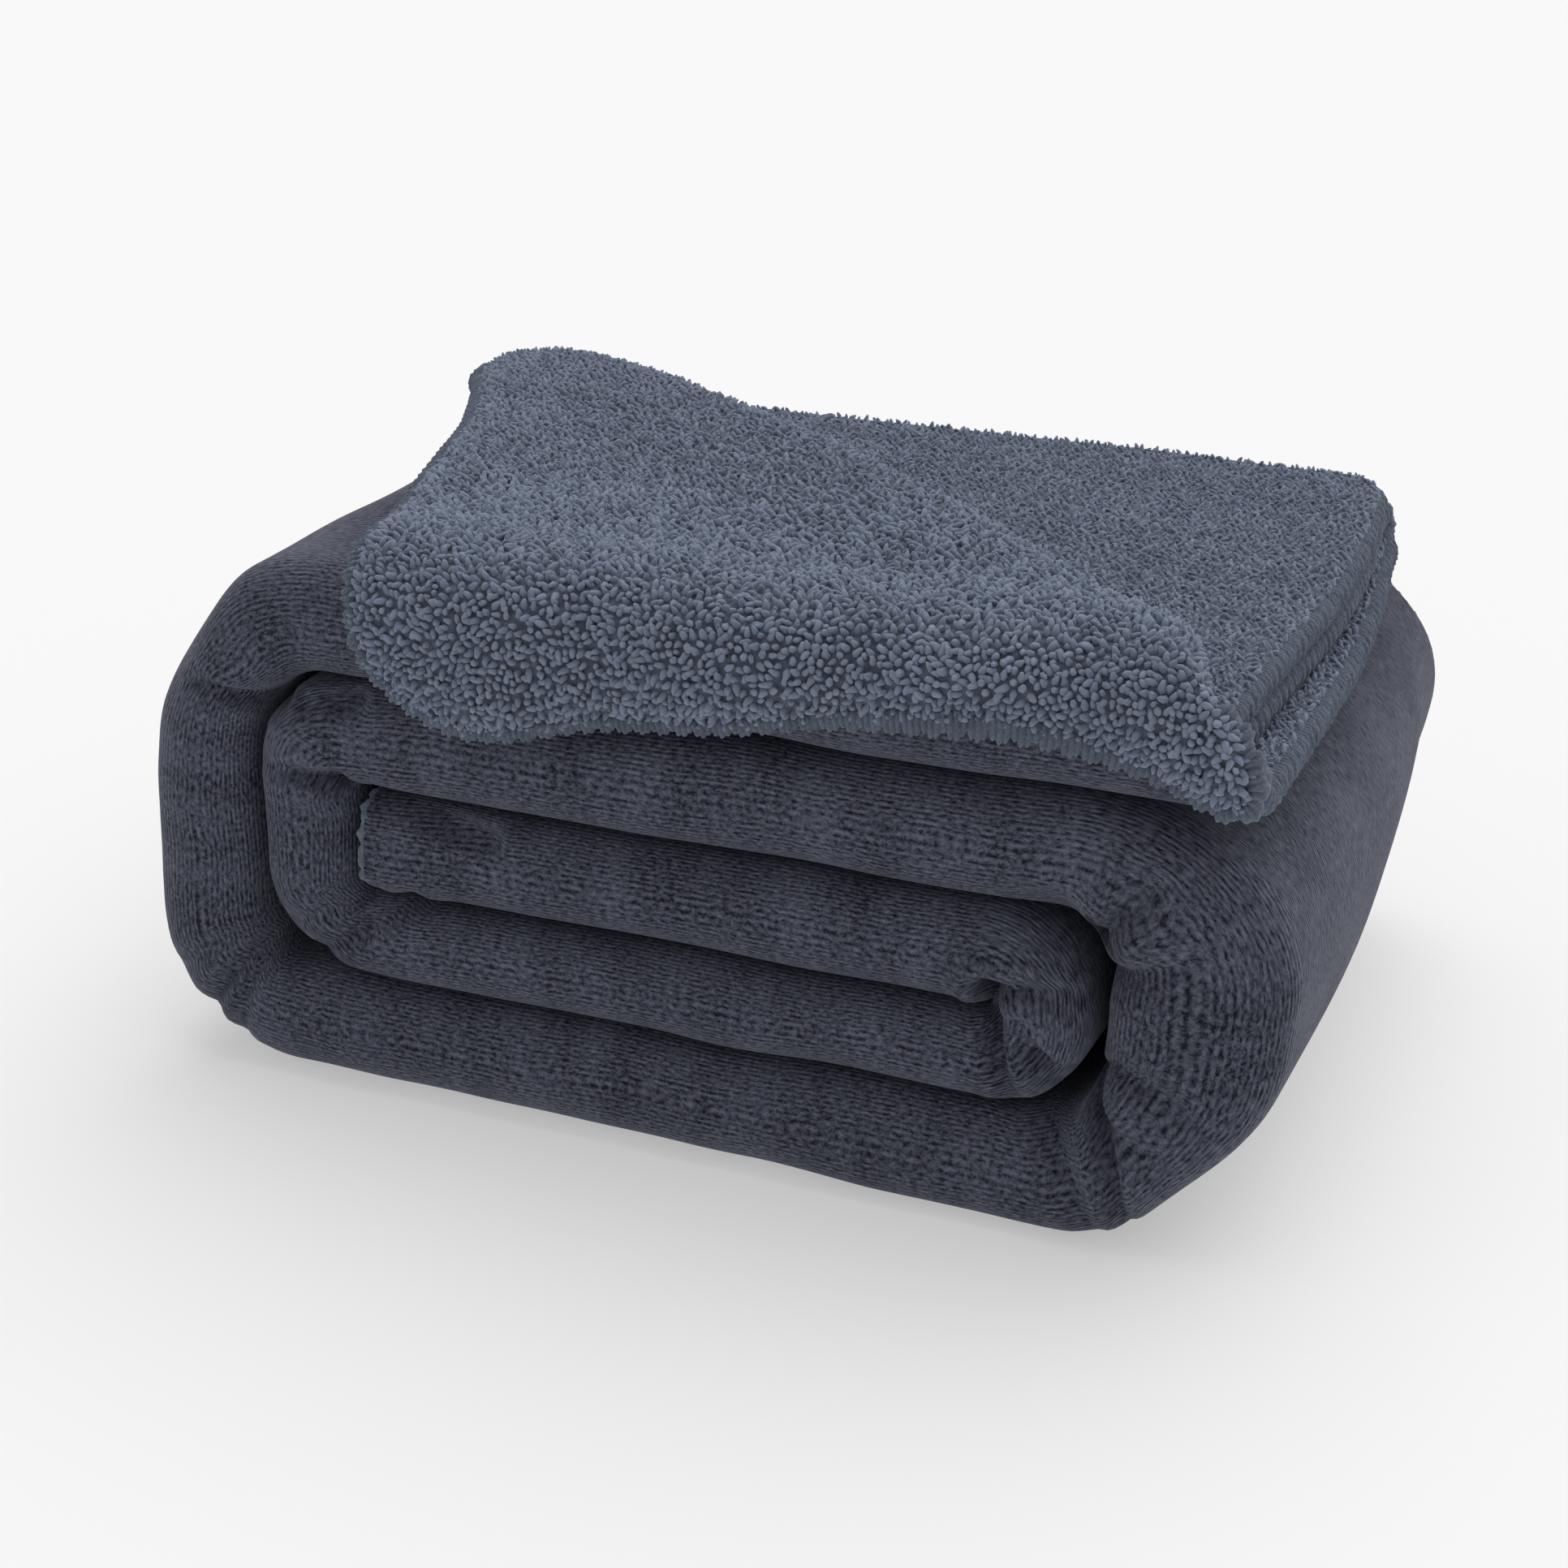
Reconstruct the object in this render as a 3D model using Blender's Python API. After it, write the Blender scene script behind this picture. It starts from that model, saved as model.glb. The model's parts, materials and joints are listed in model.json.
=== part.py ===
"""A throw blanket, folded to a quarter of its width and rolled up flat.

The blanket is two cloths sewn back to back along their edges: a ribbed face cloth and a curly pile lining.
Folding it twice along its length gives a strip of four plies. Seen in a cut across the strip, the cloths run as one
folded line: ply 3 forwards, round the inner fold at the front, ply 2 backwards, round the crease at the back, ply 1
forwards, round the outer fold at the front, and ply 4 backwards. The strip is then wound up, from the tongue in the
middle outwards. The last ply of its free end is turned over at a slanting ridge, as a corner flap with its pile up.

Metres, +Z up, front at -Y. The origin is the centre of the footprint.
"""

import math

import bmesh
import bpy
from mathutils import Vector

# Cloths
FACE_THICKNESS = 0.0018
PILE_THICKNESS = 0.0068
LAYER_GAP = 0.0003
CORNER_RADIUS = 0.045
OVERLOCK_WIDTH = 0.003
OVERLOCK_HALF = 0.0040

# Pack
PACK_WIDTH = 0.400
STRIP_DEPTH = 0.290
OPEN_EDGE_INSET = 0.010
TURN_GAP = 0.0006
SIDE_LOOSENESS = 1.3
INNER_CLEARANCE = 0.004
TONGUE_CLEARANCE = 0.002
END_INSET = 0.028
OUTER_BEND_INSIDE = 0.006275
INNER_BEND_INSIDE = 0.00325
TOP_BEND_INSIDE = 0.002275

# Corner flap
RIDGE_SLOPE = 0.795
RIDGE_START_INSET = 0.0005
RIDGE_SETBACK = 0.0025
DRAPE_CLEARANCE = 0.0025
DRAPE_LEAD = 0.026
FLAP_END_MARGIN = 0.006
FLAP_EDGE_SLACK = 0.0004

# Opening line of the top turn, below the start of its bend
OPENING_DROP = 0.006

# Facets
BEND_STEPS = 4
TOP_STEP = 0.054
CUT_MARK_STEP = 0.0003
FLAP_ROWS = 14
FLAP_STEPS = 6
CORNER_STEPS = 11
LONG_EDGE_STEPS = 12

HALF = 2 * FACE_THICKNESS + 2 * PILE_THICKNESS + 3.5 * LAYER_GAP
PITCH = 2 * HALF + TURN_GAP
OUTER_LEVEL = HALF - FACE_THICKNESS - LAYER_GAP / 2
INNER_LEVEL = FACE_THICKNESS + LAYER_GAP
PLY_THICKNESS = FACE_THICKNESS + LAYER_GAP + PILE_THICKNESS
FLAP_REACH = LAYER_GAP + PLY_THICKNESS + DRAPE_CLEARANCE

TOTAL_DEPTH = STRIP_DEPTH + FLAP_REACH
FRONT = FLAP_REACH - TOTAL_DEPTH / 2
BACK = TOTAL_DEPTH / 2
FOLD_Y = FRONT + HALF
CREASE_RADIUS = (OUTER_LEVEL - INNER_LEVEL) / 2
CREASE_Y = BACK - CREASE_RADIUS - FACE_THICKNESS - LAYER_GAP / 2
OPEN_Y = BACK - OPEN_EDGE_INSET

LEVEL_BOTTOM, LEVEL_B, LEVEL_TONGUE, LEVEL_C, LEVEL_TOP = (HALF + turn * PITCH for turn in range(5))
TOP_Z = LEVEL_TOP + HALF
SIDE_HALF = HALF * SIDE_LOOSENESS
OUTER_BEND = SIDE_HALF + OUTER_BEND_INSIDE
INNER_BEND = HALF + INNER_BEND_INSIDE
TOP_BEND = SIDE_HALF + TOP_BEND_INSIDE
LEFT_SIDE = SIDE_HALF - PACK_WIDTH / 2
RIGHT_SIDE = PACK_WIDTH / 2 - SIDE_HALF
INNER_SIDE = LEFT_SIDE + SIDE_HALF + INNER_CLEARANCE + HALF
TONGUE_X = INNER_SIDE + HALF + LAYER_GAP + OVERLOCK_WIDTH + TONGUE_CLEARANCE
TURN_X = RIGHT_SIDE - SIDE_HALF - INNER_CLEARANCE - HALF
END_X = PACK_WIDTH / 2 - END_INSET
OPENING_Z = LEVEL_TOP - TOP_BEND - OPENING_DROP

RIDGE_START = Vector((END_X, FRONT + RIDGE_START_INSET))
RIDGE_DIRECTION = Vector((-1, RIDGE_SLOPE)).normalized()

FACE_SIDE = (LAYER_GAP / 2, LAYER_GAP / 2 + FACE_THICKNESS)
PILE_SIDE = (-LAYER_GAP / 2, -LAYER_GAP / 2 - PILE_THICKNESS)
EDGE_CENTRE = (FACE_THICKNESS - PILE_THICKNESS) / 2


def clear_scene():
    for obj in list(bpy.data.objects):
        bpy.data.objects.remove(obj, do_unlink=True)


def make_material(name, colour, roughness):
    material = bpy.data.materials.new(name)
    material.use_nodes = True
    shader = material.node_tree.nodes["Principled BSDF"]
    shader.inputs["Base Color"].default_value = (*colour, 1)
    shader.inputs["Roughness"].default_value = roughness
    shader.inputs["Metallic"].default_value = 0
    return material


def winding(corners):
    """Stations (centre, heading, looseness) along straight runs joined by round bends.

    Each corner is (x, z, bend radius, looseness of the run that arrives there).
    """
    points = [Vector(corner[:2]) for corner in corners]
    stations = [(points[0], (points[1] - points[0]).normalized(), corners[1][3])]
    for i in range(1, len(corners) - 1):
        before = (points[i] - points[i - 1]).normalized()
        after = (points[i + 1] - points[i]).normalized()
        radius, loose_in, loose_out = corners[i][2], corners[i][3], corners[i + 1][3]
        start = points[i] - before * radius
        inward = Vector((before.y, -before.x))
        for step in range(BEND_STEPS + 1):
            share = step / BEND_STEPS
            angle = share * math.pi / 2
            place = start + before * radius * math.sin(angle) + inward * radius * (1 - math.cos(angle))
            heading = before * math.cos(angle) + after * math.sin(angle)
            eased = share * share * (3 - 2 * share)
            stations.append((place, heading, loose_in + (loose_out - loose_in) * eased))
    stations.append((points[-1], (points[-1] - points[-2]).normalized(), corners[-1][3]))
    tidy = [stations[0]]
    tidy += [now for last, now in zip(stations, stations[1:]) if (now[0] - last[0]).length > 1e-6]
    return tidy


def section_runs():
    """The folded line through the strip: (length, place of a point on it, way to its face side)."""

    def straight(y, level, sign, length):
        return length, lambda s: ((y + sign * s, level), (0, sign))

    def fold(y, level, radius, start, turn):
        def at(s):
            angle = start + turn * s / radius
            away = (math.cos(angle), math.sin(angle))
            return (y + radius * away[0], level + radius * away[1]), (-turn * away[0], -turn * away[1])

        return math.pi * radius, at

    middle = -(INNER_LEVEL + OUTER_LEVEL) / 2
    return [
        straight(OPEN_Y, INNER_LEVEL, -1, OPEN_Y - FOLD_Y),
        fold(FOLD_Y, 0, INNER_LEVEL, math.pi / 2, 1),
        straight(FOLD_Y, -INNER_LEVEL, 1, CREASE_Y - FOLD_Y),
        fold(CREASE_Y, middle, CREASE_RADIUS, math.pi / 2, -1),
        straight(CREASE_Y, -OUTER_LEVEL, -1, CREASE_Y - FOLD_Y),
        fold(FOLD_Y, 0, OUTER_LEVEL, -math.pi / 2, -1),
        straight(FOLD_Y, OUTER_LEVEL, 1, OPEN_Y - FOLD_Y),
    ]


RUNS = section_runs()
RUN_STEPS = (1, 3, 1, 4, 1, 5, 1)
SECTION_LENGTH = sum(length for length, _ in RUNS)
MARKS = [0.0]
for (run_length, _), run_steps in zip(RUNS, RUN_STEPS):
    run_start = MARKS[-1]
    MARKS += [run_start + run_length * (step + 1) / run_steps for step in range(run_steps)]


def section_point(s):
    for length, at in RUNS:
        if s <= length + 1e-9:
            return at(s)
        s -= length
    return RUNS[-1][1](RUNS[-1][0])


def strip_point(station, s, offset):
    """A point of the wound strip, s along its folded line and offset towards the face side."""
    centre, heading, looseness = station
    (y, level), (side_y, side_n) = section_point(s)
    outward = Vector((-heading.y, heading.x))
    height = (level + side_n * offset) * looseness
    return Vector((centre.x + outward.x * height, y + side_y * offset, centre.y + outward.y * height))


def ridge_y(x):
    return RIDGE_START.y + (RIDGE_START.x - x) * RIDGE_SLOPE


def cut_marks(station, flap_turned):
    """The marks of the folded line, with ply 4 ending short of the ridge where its corner is turned over."""
    end = SECTION_LENGTH
    if flap_turned:
        x = strip_point(station, SECTION_LENGTH, 0).x
        setback = RIDGE_SETBACK * math.hypot(1, RIDGE_SLOPE)
        end = min(end, SECTION_LENGTH - (OPEN_Y - (ridge_y(x) - setback)))
    last = len(MARKS) - 1
    return [min(mark, end - (last - i) * CUT_MARK_STEP) for i, mark in enumerate(MARKS)]


def finish(name, bm, material):
    bmesh.ops.recalc_face_normals(bm, faces=bm.faces[:])
    if bm.calc_volume(signed=True) < 0:
        bmesh.ops.reverse_faces(bm, faces=bm.faces[:])
    mesh = bpy.data.meshes.new(name)
    bm.to_mesh(mesh)
    bm.free()
    mesh.materials.append(material)
    mesh.shade_smooth()
    mesh.set_sharp_from_angle(angle=math.radians(50))
    obj = bpy.data.objects.new(name, mesh)
    bpy.context.scene.collection.objects.link(obj)
    return obj


def thick_sheet(columns, rows, place):
    """A grid extruded to a closed sheet. place(column, row, side) gives each point, side 0 below and 1 above."""
    bm = bmesh.new()
    bmesh.ops.create_grid(bm, x_segments=columns - 1, y_segments=rows - 1, size=1)
    column_of = bm.verts.layers.int.new("column")
    row_of = bm.verts.layers.int.new("row")
    for vert in bm.verts:
        vert[column_of] = round((vert.co.x + 1) / 2 * (columns - 1))
        vert[row_of] = round((vert.co.y + 1) / 2 * (rows - 1))
    lower = set(bm.verts)
    bmesh.ops.extrude_face_region(bm, geom=bm.faces[:])
    for vert in bm.verts:
        vert.co = place(vert[column_of], vert[row_of], 0 if vert in lower else 1)
    return bm


def strip_sheet(name, stations, side, material, flap_turned=False):
    marks = [cut_marks(station, flap_turned) for station in stations]

    def place(column, row, layer):
        return strip_point(stations[column], marks[column][row], side[layer])

    return finish(name, thick_sheet(len(stations), len(MARKS), place), material)


def bead(name, rings, material):
    """A closed rod through rings of points, which all have the same number of points."""
    bm = bmesh.new()
    loops = [[bm.verts.new(point) for point in ring] for ring in rings]
    around = len(loops[0])
    for one, two in zip(loops, loops[1:]):
        for i in range(around):
            bm.faces.new((one[i], one[(i + 1) % around], two[(i + 1) % around], two[i]))
    bm.faces.new(loops[0])
    bm.faces.new(loops[-1])
    bmesh.ops.triangulate(bm, faces=[face for face in bm.faces if len(face.verts) > 4])
    return finish(name, bm, material)


def edge_profile():
    """(distance past the cut edge, height from the middle of the two cloths) round the yarn's cut."""
    near, far = LAYER_GAP, LAYER_GAP + OVERLOCK_WIDTH
    shoulder = (near + 2 * far) / 3
    half = OVERLOCK_HALF
    return [(near, -half), (shoulder, -half), (far, -half / 2), (far, half / 2), (shoulder, half), (near, half)]


def strip_ring(station, s, way):
    return [strip_point(station, s, EDGE_CENTRE + height) + way * out for out, height in edge_profile()]


def along(station, sign):
    heading = station[1] * sign
    return Vector((heading.x, 0, heading.y))


def outline_of_corner():
    """The cut edge of the turned corner, from the strip's end round to its long edge, before it is turned."""
    first = Vector((END_X, RIDGE_START.y + FLAP_END_MARGIN))
    last_x = RIDGE_START.x - (OPEN_Y - RIDGE_START.y) / RIDGE_SLOPE + FLAP_END_MARGIN
    centre = Vector((END_X - CORNER_RADIUS, OPEN_Y - CORNER_RADIUS))
    straight_end = Vector((END_X, centre.y))
    back_start = Vector((centre.x, OPEN_Y))
    points = [(first.lerp(straight_end, i / FLAP_STEPS), Vector((1, 0))) for i in range(FLAP_STEPS)]
    for i in range(CORNER_STEPS + 1):
        angle = i / CORNER_STEPS * math.pi / 2
        out = Vector((math.cos(angle), math.sin(angle)))
        points.append((centre + out * CORNER_RADIUS, out))
    back_end = Vector((last_x, OPEN_Y))
    for i in range(LONG_EDGE_STEPS):
        share = ((i + 1) / LONG_EDGE_STEPS) ** 1.5
        points.append((back_start.lerp(back_end, share), Vector((0, 1))))
    return points


def turned(point):
    """A point of the strip's end, mirrored across the ridge."""
    local = point - RIDGE_START
    return RIDGE_START + 2 * local.dot(RIDGE_DIRECTION) * RIDGE_DIRECTION - local


def turned_way(way):
    return 2 * way.dot(RIDGE_DIRECTION) * RIDGE_DIRECTION - way


def draped(flat, height):
    """A point of the flap: flat on the pack, and hanging over the outer fold past its front edge."""
    lead = (FOLD_Y + DRAPE_LEAD - flat.y) / DRAPE_LEAD
    height += DRAPE_CLEARANCE * min(1, max(0, lead))
    if flat.y >= FOLD_Y:
        return Vector((flat.x, flat.y, TOP_Z + height))
    angle = (FOLD_Y - flat.y) / OUTER_LEVEL
    if angle <= math.pi / 2:
        radius = HALF + height
        return Vector((flat.x, FOLD_Y - radius * math.sin(angle), LEVEL_TOP + radius * math.cos(angle)))
    hang = (angle - math.pi / 2) * OUTER_LEVEL
    return Vector((flat.x, FOLD_Y - HALF - height, LEVEL_TOP - hang))


def flap_sheet(name, outline, side, material):
    """The flap between the ridge and its cut edge. Its face side is down, so heights run the other way."""
    base = LAYER_GAP + FACE_THICKNESS + LAYER_GAP / 2
    lengths = [0.0]
    for (one, _), (two, _) in zip(outline, outline[1:]):
        lengths.append(lengths[-1] + (two - one).length)
    first = (outline[0][0] - RIDGE_START).dot(RIDGE_DIRECTION)
    last = (outline[-1][0] - RIDGE_START).dot(RIDGE_DIRECTION)

    def place(column, row, layer):
        share = lengths[column] / lengths[-1]
        on_ridge = RIDGE_START + RIDGE_DIRECTION * (first + (last - first) * share)
        flat = on_ridge.lerp(turned(outline[column][0]), row / FLAP_ROWS)
        return draped(flat, base - side[layer])

    return finish(name, thick_sheet(len(outline), FLAP_ROWS + 1, place), material)


def flap_bead(name, outline, material):
    base = LAYER_GAP + FACE_THICKNESS + LAYER_GAP / 2 - EDGE_CENTRE
    rings = []
    for point, way in outline:
        edge, out_way = turned(point), turned_way(way)
        rings.append([
            draped(edge + out_way * (out + FLAP_EDGE_SLACK), base + height) for out, height in edge_profile()
        ])
    return bead(name, rings, material)


def build():
    clear_scene()
    velvet = make_material("ribbed_velvet", (0.040, 0.043, 0.062), 0.9)
    pile = make_material("curly_pile", (0.107, 0.127, 0.168), 0.95)
    yarn = make_material("overlock_yarn", (0.060, 0.072, 0.098), 0.8)

    stations = winding([
        (TONGUE_X, LEVEL_TONGUE, 0, 1),
        (TURN_X, LEVEL_TONGUE, PITCH / 2, 1),
        (TURN_X, LEVEL_B, PITCH / 2, 1),
        (INNER_SIDE, LEVEL_B, INNER_BEND, 1),
        (INNER_SIDE, LEVEL_C, INNER_BEND, 1),
        (RIGHT_SIDE, LEVEL_C, OUTER_BEND, 1),
        (RIGHT_SIDE, LEVEL_BOTTOM, OUTER_BEND, SIDE_LOOSENESS),
        (LEFT_SIDE, LEVEL_BOTTOM, OUTER_BEND, 1),
        (LEFT_SIDE, LEVEL_TOP, TOP_BEND, SIDE_LOOSENESS),
        (END_X, LEVEL_TOP, 0, 1),
    ])
    up = Vector((0, 1))
    split = len(stations) - BEND_STEPS - 2
    cut = [(Vector((LEFT_SIDE, OPENING_Z + side * LAYER_GAP)), up, SIDE_LOOSENESS) for side in (-1, 1)]
    rolled = stations[:split] + [cut[0]]
    top = [cut[1]] + stations[split:]
    flat_start, flat_end = top[-2], top[-1]
    top_steps = math.ceil((flat_end[0] - flat_start[0]).length / TOP_STEP)
    for step in range(1, top_steps):
        spot = flat_start[0].lerp(flat_end[0], step / top_steps)
        top.insert(-1, (spot, flat_end[1], 1))

    strip_sheet("face_cloth", rolled, FACE_SIDE, velvet)
    strip_sheet("sherpa_lining", rolled, PILE_SIDE, pile)
    strip_sheet("top_face_cloth", top, FACE_SIDE, velvet, flap_turned=True)
    strip_sheet("top_sherpa_lining", top, PILE_SIDE, pile, flap_turned=True)

    back = Vector((0, 1, 0))
    start_way = along(rolled[0], -1)
    rings = [strip_ring(station, SECTION_LENGTH, back) for station in reversed(rolled[1:])]
    rings.append(strip_ring(rolled[0], SECTION_LENGTH, back + start_way))
    rings += [strip_ring(rolled[0], mark, start_way) for mark in reversed(MARKS[1:-1])]
    rings.append(strip_ring(rolled[0], 0, back + start_way))
    rings += [strip_ring(station, 0, back) for station in rolled[1:]]
    bead("edge_overlock", rings, yarn)

    end_way = along(top[-1], 1)
    rings = [strip_ring(station, 0, back) for station in top[:-1]]
    rings.append(strip_ring(top[-1], 0, back + end_way))
    rings += [strip_ring(top[-1], mark, end_way) for mark in cut_marks(top[-1], True)[1:]]
    bead("top_end_overlock", rings, yarn)

    kept = [station for station in top if cut_marks(station, True)[-1] > SECTION_LENGTH - LAYER_GAP]
    bead("top_back_overlock", [strip_ring(station, SECTION_LENGTH, back) for station in kept], yarn)

    outline = outline_of_corner()
    flap_sheet("flap_face_cloth", outline, FACE_SIDE, velvet)
    flap_sheet("flap_sherpa_lining", outline, PILE_SIDE, pile)
    flap_bead("flap_overlock", outline, yarn)


build()
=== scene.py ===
import bisect
import json
import math

import bmesh
import bpy
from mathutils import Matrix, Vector, noise


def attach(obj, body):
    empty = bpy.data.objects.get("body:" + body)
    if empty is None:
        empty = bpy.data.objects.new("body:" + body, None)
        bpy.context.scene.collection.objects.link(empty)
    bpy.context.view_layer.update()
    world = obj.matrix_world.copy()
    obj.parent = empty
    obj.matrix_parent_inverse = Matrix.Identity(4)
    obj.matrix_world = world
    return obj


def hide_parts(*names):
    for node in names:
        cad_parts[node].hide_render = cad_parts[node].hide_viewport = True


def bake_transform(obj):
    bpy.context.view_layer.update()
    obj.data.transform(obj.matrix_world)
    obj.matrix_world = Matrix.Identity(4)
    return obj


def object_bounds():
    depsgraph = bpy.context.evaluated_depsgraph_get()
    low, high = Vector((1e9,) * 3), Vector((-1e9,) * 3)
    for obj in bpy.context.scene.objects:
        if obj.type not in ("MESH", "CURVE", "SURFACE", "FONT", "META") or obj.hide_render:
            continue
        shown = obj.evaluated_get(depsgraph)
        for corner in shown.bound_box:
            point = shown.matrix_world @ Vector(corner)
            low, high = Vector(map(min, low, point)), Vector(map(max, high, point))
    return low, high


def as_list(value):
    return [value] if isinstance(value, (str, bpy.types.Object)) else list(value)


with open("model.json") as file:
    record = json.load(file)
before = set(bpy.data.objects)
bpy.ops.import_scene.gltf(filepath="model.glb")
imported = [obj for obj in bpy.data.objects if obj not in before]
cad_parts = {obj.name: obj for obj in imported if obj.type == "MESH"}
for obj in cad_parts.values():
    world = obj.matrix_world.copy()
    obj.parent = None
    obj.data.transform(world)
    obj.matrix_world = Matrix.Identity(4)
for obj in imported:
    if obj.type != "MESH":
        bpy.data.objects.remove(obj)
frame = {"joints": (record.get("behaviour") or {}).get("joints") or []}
cadLow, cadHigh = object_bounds()
joints = {joint["name"]: joint for joint in frame["joints"]}
print("loaded the packed blanket")

# Metres, +Z up, front at -Y. The pack is a strip of four plies that is wound up flat
pack = {
    "faceThickness": 0.0018,
    "pileThickness": 0.0068,
    "layerGap": 0.0003,
    "front": -0.13915,
    "back": 0.15085,
    "openInset": 0.010,
    "foldSquareness": 2.7,      # 2 is round, more is flatter
    "endInset": 0.028,
    "tongueX": -0.10675,
    "turnX": 0.1225,
    "innerSideX": -0.1315,
    "leftX": -0.176275,
    "leftLooseness": 1.3,
    "rightX": 0.1716,
    "rightLooseness": 1.56,
    "outerBend": 0.034,
    "upperRightBend": 0.039,
    "lowerRightBend": 0.046,
    "innerBend": 0.0215,
    "innerTopBend": 0.0170,
    "topBend": 0.055,
    "cornerRadius": 0.027,
    "plyOneReach": 0.0125,      # past ply 3 at the top turn's end
    "endSlant": 0.008,
    "endSlantSpan": (-0.1, 0.2),        # y where the slant starts, and over how much it comes in
    "endReach": 0.06,           # the end takes its shape over this much of the top turn
    "turnLooseness": 0.92,
    # height of each run's middle and how loosely it lies
    "bottom": (0.0205, 1.123),
    "second": (0.0573, 0.866),
    "tongue": (0.0912, 0.97),
    "third": (0.1288, 1.063),
    "top": (0.1667, 1.0),
    "bareFrom": 1.03,           # length where the outermost turn starts, and over how much it comes in
    "bareOver": 0.05,
    "topStart": (-0.1865, 0.0105),      # (x, z) where the top turn's cloth is cut from the roll's
    "columnStep": 0.0027,
    "fineStep": 0.0011,
}

face = pack["faceThickness"]
pile = pack["pileThickness"]
gap = pack["layerGap"]
half = 2 * face + 2 * pile + 3.5 * gap
outerLevel = half - face - gap / 2
innerLevel = face + gap
foldY = pack["front"] + half
creaseRadius = (outerLevel - innerLevel) / 2
creaseY = pack["back"] - creaseRadius - face - gap / 2
openY = pack["back"] - pack["openInset"]
endX = cadHigh.x - pack["endInset"]
topLevel = pack["top"][0]


def ease(value):
    value = min(1, max(0, value))
    return value * value * (3 - 2 * value)


def over(value, span):
    # 0 before a span and 1 past it. A span is a start and a length, which is negative where it runs down
    return ease((value - span[0]) / span[1])


def windingLine(corners, step):
    # stations (x, z, heading x, heading z, looseness, length so far, bareness) along straight runs
    # joined by round bends. Bareness is 1 on the outermost turn, whose front fold isn't pressed flat
    # by a turn outside it
    points = [Vector(corner[:2]) for corner in corners]
    stations = []

    def add(place, heading, looseness):
        length = 0
        if stations:
            last = stations[-1]
            move = (place - Vector(last[:2])).length
            if move < step * 0.2:
                return
            length = last[5] + move
        bare = ease((length - pack["bareFrom"]) / pack["bareOver"])
        stations.append((place.x, place.y, heading.x, heading.y, looseness, length, bare))

    def run(start, end, looseness):
        heading = (end - start).normalized()
        count = max(1, round((end - start).length / step))
        for i in range(count + 1):
            add(start.lerp(end, i / count), heading, looseness)

    place = points[0]
    for i in range(1, len(points) - 1):
        before = (points[i] - points[i - 1]).normalized()
        after = (points[i + 1] - points[i]).normalized()
        radius, looseIn, looseOut = corners[i][2], corners[i][3], corners[i + 1][3]
        start = points[i] - before * radius
        run(place, start, looseIn)
        inward = Vector((before.y, -before.x))
        count = max(6, round(math.pi / 2 * (radius + half) / step))
        for n in range(1, count + 1):
            angle = n / count * math.pi / 2
            place = start + before * radius * math.sin(angle) + inward * radius * (1 - math.cos(angle))
            heading = before * math.cos(angle) + after * math.sin(angle)
            add(place, heading, looseIn + (looseOut - looseIn) * ease(n / count))
    run(place, points[-1], corners[-1][3])
    return stations


def packCorners():
    names = "bottom", "second", "tongue", "third", "top"
    bottom, second, tongue, third, top = (pack[name] for name in names)
    turn = (tongue[0] - second[0]) / 2
    left, right = pack["leftX"], pack["rightX"]
    return [
        (pack["tongueX"], tongue[0], 0, tongue[1]),
        (pack["turnX"], tongue[0], turn, tongue[1]),
        (pack["turnX"], second[0], turn, pack["turnLooseness"]),
        (pack["innerSideX"], second[0], pack["innerBend"], second[1]),
        (pack["innerSideX"], third[0], pack["innerTopBend"], 1),
        (right, third[0], pack["upperRightBend"], third[1]),
        (right, bottom[0], pack["lowerRightBend"], pack["rightLooseness"]),
        (left, bottom[0], pack["outerBend"], bottom[1]),
        (left, top[0], pack["topBend"], pack["leftLooseness"]),
        (endX, top[0], 0, top[1]),
    ]


# The four plies in a cut across the strip: ply 3, inner fold, ply 2, crease at the back, ply 1,
# outer fold, ply 4
foldPower = 2 / pack["foldSquareness"]


def squared(angle):
    cos, sin = math.cos(angle), math.sin(angle)
    return math.copysign(abs(cos) ** foldPower, cos), math.copysign(abs(sin) ** foldPower, sin)


def straightRun(y, level, sign, length):
    return length, lambda s, bare=0: (y + sign * s, level, 0, sign)


def foldRun(y, level, radius, start, turn, square=False):
    def at(s, bare=0):
        angle = start + turn * s / radius
        awayY, awayLevel = math.cos(angle), math.sin(angle)
        if square:
            share = bare if awayLevel > 0 else 0
            flatY, flatLevel = squared(angle)
            awayY, awayLevel = flatY + (awayY - flatY) * share, flatLevel + (awayLevel - flatLevel) * share
        return y + radius * awayY, level + radius * awayLevel, -turn * awayY, -turn * awayLevel

    return math.pi * radius, at


sectionRuns = [
    straightRun(openY, innerLevel, -1, openY - foldY),
    foldRun(foldY, 0, innerLevel, math.pi / 2, 1),
    straightRun(foldY, -innerLevel, 1, creaseY - foldY),
    foldRun(creaseY, -(innerLevel + outerLevel) / 2, creaseRadius, math.pi / 2, -1),
    straightRun(creaseY, -outerLevel, -1, creaseY - foldY),
    foldRun(foldY, 0, outerLevel, -math.pi / 2, -1, True),
    straightRun(foldY, outerLevel, 1, openY - foldY),
]
sectionLength = sum(length for length, at in sectionRuns)


def sectionMarks(counts):
    marks, start = [0.0], 0.0
    for (length, at), count in zip(sectionRuns, counts):
        marks += [start + length * (i + 1) / count for i in range(count)]
        start += length
    return marks


def sectionPoint(s, bare=0):
    for length, at in sectionRuns:
        if s <= length + 1e-9:
            return at(s, bare)
        s -= length
    return at(length, bare)


def stripPoint(station, s, offset):
    # a point of the wound strip, offset towards the face cloth's side
    x, z, headX, headZ, looseness, length, bare = station
    y, level, sideY, sideLevel = sectionPoint(s, bare)
    height = (level + sideLevel * offset) * looseness
    return x - headZ * height, y + sideY * offset, z + headX * height


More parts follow.
